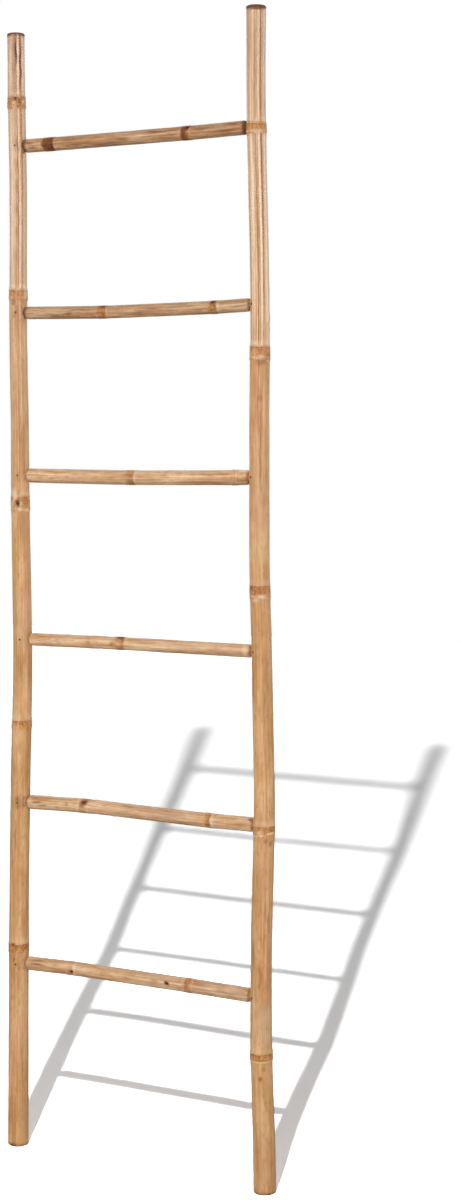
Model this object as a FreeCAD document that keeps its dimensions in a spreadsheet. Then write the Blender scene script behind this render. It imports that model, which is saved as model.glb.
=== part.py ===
import FreeCAD, Part
import Sketcher
import os

# A towel ladder of bamboo that leans on a wall: two tapering poles, six rungs whose turned-down
# ends plug into sockets in the poles, and one nail through each joint.
# Origin on the floor midway between the poles, +X to the right pole, +Y to the wall, +Z up.

# Driving dimensions, in millimetres, and in degrees for the two angles.
SIZES = {
    # The frame of the ladder.
    "pole_spacing": 460,
    "first_rung_height": 310,
    "rung_pitch": 280,
    "head_room": 195,
    # The poles: hollow culms with a wall across the bore at each node.
    "left_foot_diameter": 36.3,
    "left_top_diameter": 30.2,
    "right_foot_diameter": 36.6,
    "right_top_diameter": 31.5,
    "pole_wall": 6,
    "pole_diaphragm": 6,
    "pole_bow": 8,
    "pole_end_chamfer": 1.2,
    "pole_ridge": 1.4,
    "pole_scar": 0.7,
    "pole_node_length": 14,
    "pole_node_flare": 8,
    # The rungs: thinner culms, with a tenon turned on each end.
    "rung_diameter": 23,
    "rung_bore": 9,
    "rung_diaphragm": 5,
    "rung_bow": 4.3,
    "rung_ridge": 0.8,
    "rung_scar": 0.4,
    "rung_node_length": 9,
    "rung_node_flare": 6,
    "tenon_diameter": 16,
    "tenon_reach": 5,
    "socket_clearance": 0.15,
    "shoulder_gap": 0.2,
    "shoulder_length": 5,
    # The nails, driven from the front into the tenons.
    "nail_diameter": 1.7,
    "nail_length": 20,
    "nail_point_length": 3,
    "nail_head_diameter": 3.2,
    "nail_head_thickness": 0.8,
    "nail_head_sink": 0.5,
    "nail_clearance": 0.05,
    "left_nail_angle": 15,
    "right_nail_angle": 32,
    # How far a cut runs past the solid that it opens.
    "overrun": 5,
}

# Places up a pole count bays from the floor: bay 0 is below the lowest rung, bays 1 to 5 lie
# between the rungs and bay 6 is above the top rung, and the decimals are a share of the bay.
RUNG_COUNT = 6
TOP_BAY_SHARE = RUNG_COUNT + 1.0
# The bay share of each rung, from the top down: each sits a little above or below the even pitch.
RUNG_BAY_SHARES = (6.007, 4.984, 3.989, 2.988, 1.992, 1.006)

# Each pole's bends, from the foot up: bay share, and sideways shift as a share of pole_bow.
LEFT_BEND_SHARES = (
    (0.0, -0.45), (1.10, -0.30), (1.60, -0.14), (2.24, 0.21), (2.45, 0.475),
    (2.82, 0.73), (3.07, 0.64), (3.81, 0.075), (4.26, -0.01), (4.81, -0.46),
    (5.64, -0.43), (5.83, -0.49), (6.38, -0.875), (7.0, -1.06),
)
RIGHT_BEND_SHARES = (
    (0.0, 0.79), (0.26, 0.65), (0.70, 0.0), (0.95, -0.05), (1.35, 0.06),
    (2.10, 0.75), (3.05, 0.08), (3.33, -0.27), (3.50, -0.42), (4.40, -0.42),
    (4.69, -0.30), (4.93, -0.25), (5.30, -0.45), (5.98, -1.06), (6.40, -1.20), (7.0, -1.13),
)
# The bay share of each node.
LEFT_NODE_SHARES = (1.10, 2.45, 3.81, 5.07, 6.38)
RIGHT_NODE_SHARES = (0.70, 1.96, 3.33, 4.69, 5.98)
# How much of the ridge's height is left in the waist between a node's scar and its ridge.
WAIST_SHARE = 0.4

# The rungs from the top down: girth as a share of rung_diameter, then each node as its share of
# the way from the left pole to the right one, and its rise as a share of rung_bow.
RUNG_SHARES = (
    (1.02, ((0.13, -0.18), (0.72, -0.32))),
    (0.95, ((0.355, -0.92), (0.81, -0.62))),
    (1.07, ((0.475, -0.58), (0.905, -0.20))),
    (0.95, ((0.42, 0.30),)),
    (1.05, ((0.27, 0.74), (0.775, -0.20))),
    (1.02, ((0.23, 0.51), (0.71, 0.42))),
)
# The rounded shoulder beside a tenon: share of its length, and of its step in radius.
SHOULDER_SHARES = ((0.0, 0.0), (0.2, 0.6), (0.5, 0.88), (1.0, 1.0))


def make_sheet(doc):
    sheet = doc.addObject("Spreadsheet::Sheet", "sizes")
    for row, (alias, value) in enumerate(SIZES.items(), start=1):
        sheet.set(f"A{row}", alias)
        sheet.set(f"B{row}", str(value))
        sheet.setAlias(f"B{row}", alias)
    doc.recompute()


# Expressions for places on the ladder.


def height(bay_share):
    """Height of a place that is given in bays."""
    bay = min(int(bay_share), RUNG_COUNT)
    part_share = round(bay_share - bay, 3)
    if bay == 0:
        return f"({part_share} * sizes.first_rung_height)"
    if bay == RUNG_COUNT:
        top_rung = f"sizes.first_rung_height + {RUNG_COUNT - 1} * sizes.rung_pitch"
        return f"({top_rung} + {part_share} * sizes.head_room)"
    return f"(sizes.first_rung_height + {round(bay_share - 1, 3)} * sizes.rung_pitch)"


def sideways(bend_shares, bay_share):
    """A pole's sideways shift at a place, on the straight line between the bends beside it."""
    for low, high in zip(bend_shares, bend_shares[1:]):
        if bay_share <= high[0]:
            break
    climb = f"({height(bay_share)} - {height(low[0])})"
    span = f"({height(high[0])} - {height(low[0])})"
    lean_share = round(high[1] - low[1], 3)
    return f"(({low[1]} + {lean_share} * {climb} / {span}) * sizes.pole_bow)"


def pole_radius(side, bay_share, offset="0"):
    """A pole's radius between its nodes, which tapers from foot to top."""
    foot = f"sizes.{side}_foot_diameter"
    top = f"sizes.{side}_top_diameter"
    climb = f"({height(bay_share)} + {offset}) / {height(TOP_BAY_SHARE)}"
    return f"(({foot} + ({top} - {foot}) * {climb}) / 2)"


def rung_bay(number):
    """The place of a rung, numbered from the top, in bays."""
    return RUNG_BAY_SHARES[number - 1]


def joint_x(side, number):
    """X of a pole's axis at a rung."""
    if side == "left":
        return f"(-sizes.pole_spacing / 2 + {sideways(LEFT_BEND_SHARES, rung_bay(number))})"
    return f"(sizes.pole_spacing / 2 + {sideways(RIGHT_BEND_SHARES, rung_bay(number))})"


def nail_angle(side):
    """Turn of a nail about the pole, whose head faces the front and leans to the inner side."""
    return "sizes.left_nail_angle" if side == "left" else "(-sizes.right_nail_angle)"


# Sketches and features that the bodies share.


def new_sketch(body, name, plane, x="0", y="0", z="0", turn="0"):
    """A sketch on one of its body's planes, moved and turned in that plane's own axes."""
    sketch = body.newObject("Sketcher::SketchObject", name)
    planes = {feature.Role: feature for feature in body.Origin.OriginFeatures}
    sketch.AttachmentSupport = [(planes[plane], "")]
    sketch.MapMode = "FlatFace"
    for axis, place in (("x", x), ("y", y), ("z", z)):
        if place != "0":
            sketch.setExpression(f"AttachmentOffset.Base.{axis}", place)
    if turn != "0":
        sketch.AttachmentOffset = FreeCAD.Placement(
            FreeCAD.Vector(), FreeCAD.Rotation(FreeCAD.Vector(0, 0, 1), 1)
        )
        sketch.setExpression("AttachmentOffset.Rotation.Angle", turn)
    return sketch


def circle_sketch(body, name, plane, radius, **place):
    """A circle about the sketch's own origin."""
    sketch = new_sketch(body, name, plane, **place)
    sketch.addGeometry(Part.Circle(FreeCAD.Vector(), FreeCAD.Vector(0, 0, 1), 1), False)
    sketch.addConstraint(Sketcher.Constraint("Coincident", 0, 3, -1, 1))
    sketch.addConstraint(Sketcher.Constraint("Radius", 0, 1))
    sketch.renameConstraint(1, "radius")
    sketch.setExpression("Constraints.radius", radius)
    return sketch


def loft(body, kind, name, sections):
    """A ruled loft through circles, which adds to a body or cuts it."""
    feature = body.newObject(f"PartDesign::{kind}", name)
    feature.Profile = sections[0]
    feature.Sections = sections[1:]
    feature.Ruled = True
    feature.Refine = False
    return feature


def nail_profile(sketch, seat, clearance="0", overrun="0"):
    """Half a nail, head down, about the sketch's Y axis; its head seats that far below the origin."""
    head = SIZES["nail_head_diameter"] / 2
    shaft = SIZES["nail_diameter"] / 2
    thickness = SIZES["nail_head_thickness"]
    length = SIZES["nail_length"]
    taper = SIZES["nail_point_length"]
    points = [
        FreeCAD.Vector(0, -thickness, 0),
        FreeCAD.Vector(head, -thickness, 0),
        FreeCAD.Vector(head, 0, 0),
        FreeCAD.Vector(shaft, 0, 0),
        FreeCAD.Vector(shaft, length - taper, 0),
        FreeCAD.Vector(0, length, 0),
    ]
    for start, end in zip(points, points[1:] + points[:1]):
        sketch.addGeometry(Part.LineSegment(start, end), False)
    for line in range(len(points)):
        sketch.addConstraint(Sketcher.Constraint("Coincident", line, 2, (line + 1) % len(points), 1))
    top, rim, under, shank, point, axis = range(len(points))
    for line in (top, under):
        sketch.addConstraint(Sketcher.Constraint("Horizontal", line))
    for line in (rim, shank):
        sketch.addConstraint(Sketcher.Constraint("Vertical", line))
    for end in (1, 2):
        sketch.addConstraint(Sketcher.Constraint("PointOnObject", axis, end, -2))
    dimensions = {
        "head_radius": (
            Sketcher.Constraint("DistanceX", top, 1, top, 2, head),
            f"sizes.nail_head_diameter / 2 + {clearance}",
        ),
        "shank_radius": (
            Sketcher.Constraint("DistanceX", point, 2, point, 1, shaft),
            f"sizes.nail_diameter / 2 + {clearance}",
        ),
        "seat": (Sketcher.Constraint("DistanceY", under, 1, -1, 1, 0), f"{seat} - {clearance}"),
        "head_thickness": (
            Sketcher.Constraint("DistanceY", rim, 1, rim, 2, thickness),
            f"sizes.nail_head_thickness + {clearance} + {overrun}",
        ),
        "length": (
            Sketcher.Constraint("DistanceY", under, 2, point, 2, length),
            f"sizes.nail_length + {clearance}",
        ),
        "point_length": (
            Sketcher.Constraint("DistanceY", point, 1, point, 2, taper),
            "sizes.nail_point_length",
        ),
    }
    for name, (constraint, value) in dimensions.items():
        index = sketch.addConstraint(constraint)
        sketch.renameConstraint(index, name)
        sketch.setExpression(f"Constraints.{name}", value)


def turned(body, kind, sketch, name):
    """A profile turned right round the sketch's Y axis, which adds to a body or cuts it."""
    feature = body.newObject(f"PartDesign::{kind}", name)
    feature.Profile = sketch
    feature.ReferenceAxis = (sketch, ["V_Axis"])
    feature.Angle = 360
    feature.Refine = False
    return feature


def nail_seat(side, number):
    """Distance from a pole's axis to the underside of a nail's head."""
    return f"({pole_radius(side, rung_bay(number))} - sizes.nail_head_sink)"


def nail_hole(body, side, number, x, z):
    """The hole that a nail makes in a pole or a tenon."""
    name = f"hole_{side}_{number}"
    sketch = new_sketch(body, f"{name}_profile", "XY_Plane", x=x, z=z, turn=nail_angle(side))
    nail_profile(sketch, nail_seat(side, number), "sizes.nail_clearance", "sizes.overrun")
    return turned(body, "Groove", sketch, name)


# The bodies.


def node_steps(kind):
    """Sections of a node, from below it to above it: offset along the culm, and added radius."""
    half = f"sizes.{kind}_node_length / 2"
    flare = f"sizes.{kind}_node_flare"
    return (
        (f"(-{half} - {flare})", "0"),
        (f"(-{half})", f"sizes.{kind}_ridge"),
        ("0", f"{WAIST_SHARE} * sizes.{kind}_ridge"),
        (f"({half})", f"sizes.{kind}_scar"),
        (f"({half} + {flare})", "0"),
    )


def pole_stations(bend_shares, node_shares):
    """Sections of a pole from foot to top: bay share, offset from it, and added radius."""
    chamfer = "sizes.pole_end_chamfer"
    stations = [(0.0, "0", f"-{chamfer}"), (0.0, chamfer, "0")]
    places = {share for share, shift in bend_shares[1:-1]} | set(node_shares)
    for bay_share in sorted(places):
        steps = node_steps("pole") if bay_share in node_shares else (("0", "0"),)
        stations += [(bay_share, offset, added) for offset, added in steps]
    stations += [(TOP_BAY_SHARE, f"(-{chamfer})", "0"), (TOP_BAY_SHARE, "0", f"-{chamfer}")]
    return stations


def pole_section(body, name, side, bend_shares, station):
    """One circle about a pole's axis."""
    bay_share, offset, added = station
    return circle_sketch(
        body,
        name,
        "XY_Plane",
        f"{pole_radius(side, bay_share, offset)} + {added}",
        x=sideways(bend_shares, bay_share),
        z=f"{height(bay_share)} + {offset}",
    )


def pole_bores(bend_shares, node_shares):
    """Stations of the bore in each internode, which opens at the pole's two ends."""
    half = "sizes.pole_diaphragm / 2"
    floors = [(0.0, "(-sizes.overrun)")] + [(share, f"({half})") for share in node_shares]
    roofs = [(share, f"(-{half})") for share in node_shares] + [(TOP_BAY_SHARE, "sizes.overrun")]
    bores = []
    for floor, roof in zip(floors, roofs):
        bends = [(share, "0") for share, shift in bend_shares if floor[0] < share < roof[0]]
        bores.append([(*place, "(-sizes.pole_wall)") for place in (floor, *bends, roof)])
    return bores


def make_pole(doc, side, bend_shares, node_shares):
    body = doc.addObject("PartDesign::Body", f"{side}_pole")
    body.setExpression("Placement.Base.x", f"{'-' if side == 'left' else ''}sizes.pole_spacing / 2")
    sections = []
    for index, station in enumerate(pole_stations(bend_shares, node_shares)):
        sections.append(pole_section(body, f"{side}_section_{index}", side, bend_shares, station))
    loft(body, "AdditiveLoft", f"{side}_culm", sections)
    cuts = []
    for index, stations in enumerate(pole_bores(bend_shares, node_shares)):
        rings = []
        for ring, station in enumerate(stations):
            name = f"{side}_bore_{index}_ring_{ring}"
            rings.append(pole_section(body, name, side, bend_shares, station))
        cuts.append(loft(body, "SubtractiveLoft", f"{side}_bore_{index}", rings))
    outward = "-" if side == "left" else "+"
    for number in range(1, RUNG_COUNT + 1):
        x = sideways(bend_shares, rung_bay(number))
        z = height(rung_bay(number))
        socket = circle_sketch(
            body,
            f"{side}_socket_{number}_mouth",
            "YZ_Plane",
            "sizes.tenon_diameter / 2 + sizes.socket_clearance",
            y=z,
            z=f"{x} {outward} (sizes.tenon_reach + sizes.socket_clearance)",
        )
        pocket = body.newObject("PartDesign::Pocket", f"{side}_socket_{number}")
        pocket.Profile = socket
        pocket.Type = "ThroughAll"
        pocket.Reversed = side == "left"
        pocket.Refine = False
        cuts += [pocket, nail_hole(body, side, number, x, z)]
    return body, cuts


def make_rung(doc, number):
    """A rung along its own X axis, which starts on the left pole's axis."""
    girth_share, nodes = RUNG_SHARES[number - 1]
    body = doc.addObject("PartDesign::Body", f"rung_{number}")
    body.setExpression("Placement.Base.x", joint_x("left", number))
    body.setExpression("Placement.Base.z", height(rung_bay(number)))
    length = f"({joint_x('right', number)} - {joint_x('left', number)})"
    radius = f"({girth_share} * sizes.rung_diameter / 2)"
    tenon = "sizes.tenon_diameter / 2"
    gap = "sizes.pole_ridge + sizes.shoulder_gap"
    left_neck = f"({pole_radius('left', rung_bay(number))} + {gap})"
    right_neck = f"({length} - {pole_radius('right', rung_bay(number))} - {gap})"

    # Stations along the rung: place, rise and radius.
    stations = [("(-sizes.tenon_reach)", "0", tenon)]
    for length_share, step_share in SHOULDER_SHARES:
        step = f"{tenon} + {step_share} * ({radius} - {tenon})"
        stations.append((f"{left_neck} + {length_share} * sizes.shoulder_length", "0", step))
    for length_share, rise_share in nodes:
        for offset, added in node_steps("rung"):
            place = f"{length_share} * {length} + {offset}"
            stations.append((place, f"{rise_share} * sizes.rung_bow", f"{radius} + {added}"))
    for length_share, step_share in reversed(SHOULDER_SHARES):
        step = f"{tenon} + {step_share} * ({radius} - {tenon})"
        stations.append((f"{right_neck} - {length_share} * sizes.shoulder_length", "0", step))
    stations.append((f"{length} + sizes.tenon_reach", "0", tenon))

    sections = []
    for index, (x, rise, size) in enumerate(stations):
        name = f"rung_{number}_section_{index}"
        sections.append(circle_sketch(body, name, "YZ_Plane", size, y=rise, z=x))
    loft(body, "AdditiveLoft", f"rung_{number}_culm", sections)

    # The bore of each internode, which opens at the tenons' ends.
    half = "sizes.rung_diaphragm / 2"
    ends = [("(-sizes.tenon_reach - sizes.overrun)", "0")]
    for length_share, rise_share in nodes:
        for sign in ("-", "+"):
            place = f"{length_share} * {length} {sign} {half}"
            ends.append((place, f"{rise_share} * sizes.rung_bow"))
    ends.append((f"{length} + sizes.tenon_reach + sizes.overrun", "0"))
    cuts = []
    for index, pair in enumerate(zip(ends[::2], ends[1::2])):
        rings = []
        for ring, (x, rise) in enumerate(pair):
            name = f"rung_{number}_bore_{index}_ring_{ring}"
            rings.append(circle_sketch(body, name, "YZ_Plane", "sizes.rung_bore / 2", y=rise, z=x))
        cuts.append(loft(body, "SubtractiveLoft", f"rung_{number}_bore_{index}", rings))
    for side, x in (("left", "0"), ("right", length)):
        cuts.append(nail_hole(body, side, number, x, "0"))
    return body, cuts


def make_nail(doc, side, number):
    """A nail along its own Y axis, which crosses the pole's axis at the origin."""
    body = doc.addObject("PartDesign::Body", f"nail_{side}_{number}")
    body.Placement = FreeCAD.Placement(
        FreeCAD.Vector(), FreeCAD.Rotation(FreeCAD.Vector(0, 0, 1), 1)
    )
    body.setExpression("Placement.Base.x", joint_x(side, number))
    body.setExpression("Placement.Base.z", height(rung_bay(number)))
    body.setExpression("Placement.Rotation.Angle", nail_angle(side))
    sketch = new_sketch(body, f"nail_{side}_{number}_profile", "XY_Plane")
    nail_profile(sketch, nail_seat(side, number))
    turned(body, "Revolution", sketch, f"nail_{side}_{number}_turned")
    return body


def check(doc, bodies, cuts):
    """Stop if an object failed, a shape isn't one sound solid or a cut took nothing away."""
    for item in doc.Objects:
        if "Invalid" in item.State or "Error" in item.State:
            raise RuntimeError(f"{item.Name} failed: {item.State}")
    for body in bodies:
        if body.Shape.isNull() or not body.Shape.isValid() or len(body.Shape.Solids) != 1:
            raise RuntimeError(f"{body.Label} isn't one sound solid")
    volumes = {}
    for cut in cuts:
        volumes[cut] = cut.Shape.Volume
        base = cut.BaseFeature
        if not volumes[cut] < volumes.get(base, base.Shape.Volume):
            raise RuntimeError(f"{cut.Name} took nothing away")


def main():
    doc = FreeCAD.newDocument("towel_ladder")
    make_sheet(doc)
    left_pole, cuts = make_pole(doc, "left", LEFT_BEND_SHARES, LEFT_NODE_SHARES)
    right_pole, right_cuts = make_pole(doc, "right", RIGHT_BEND_SHARES, RIGHT_NODE_SHARES)
    bodies = [left_pole, right_pole]
    cuts += right_cuts
    for number in range(1, RUNG_COUNT + 1):
        rung, rung_cuts = make_rung(doc, number)
        bodies.append(rung)
        cuts += rung_cuts
        bodies += [make_nail(doc, side, number) for side in ("left", "right")]
    doc.recompute()
    check(doc, bodies, cuts)
    os.makedirs("parts", exist_ok=True)
    for body in bodies:
        body.Shape.exportStep(f"parts/{body.Label}.step")
        print(f"{body.Label}: {body.Shape.Volume:.1f} cubic millimetres")


main()
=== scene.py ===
import math

import bmesh
import bpy
import numpy as np
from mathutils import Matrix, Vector


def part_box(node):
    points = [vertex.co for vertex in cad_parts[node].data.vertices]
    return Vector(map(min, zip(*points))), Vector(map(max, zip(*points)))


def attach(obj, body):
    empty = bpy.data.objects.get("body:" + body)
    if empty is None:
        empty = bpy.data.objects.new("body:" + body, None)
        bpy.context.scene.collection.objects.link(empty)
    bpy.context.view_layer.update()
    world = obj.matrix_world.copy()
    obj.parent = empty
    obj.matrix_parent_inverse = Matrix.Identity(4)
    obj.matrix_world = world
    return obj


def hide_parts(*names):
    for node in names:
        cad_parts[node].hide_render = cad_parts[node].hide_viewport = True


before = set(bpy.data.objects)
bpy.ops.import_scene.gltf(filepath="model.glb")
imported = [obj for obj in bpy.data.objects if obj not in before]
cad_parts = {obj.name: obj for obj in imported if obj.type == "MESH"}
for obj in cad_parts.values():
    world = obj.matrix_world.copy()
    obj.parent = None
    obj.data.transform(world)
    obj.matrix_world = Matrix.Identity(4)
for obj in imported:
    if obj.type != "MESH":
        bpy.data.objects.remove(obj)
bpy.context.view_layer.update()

# A towel ladder of varnished bamboo: two poles, six rungs and the nails that hold them.
# All lengths are in metres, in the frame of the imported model.
MM = 0.001

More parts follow.
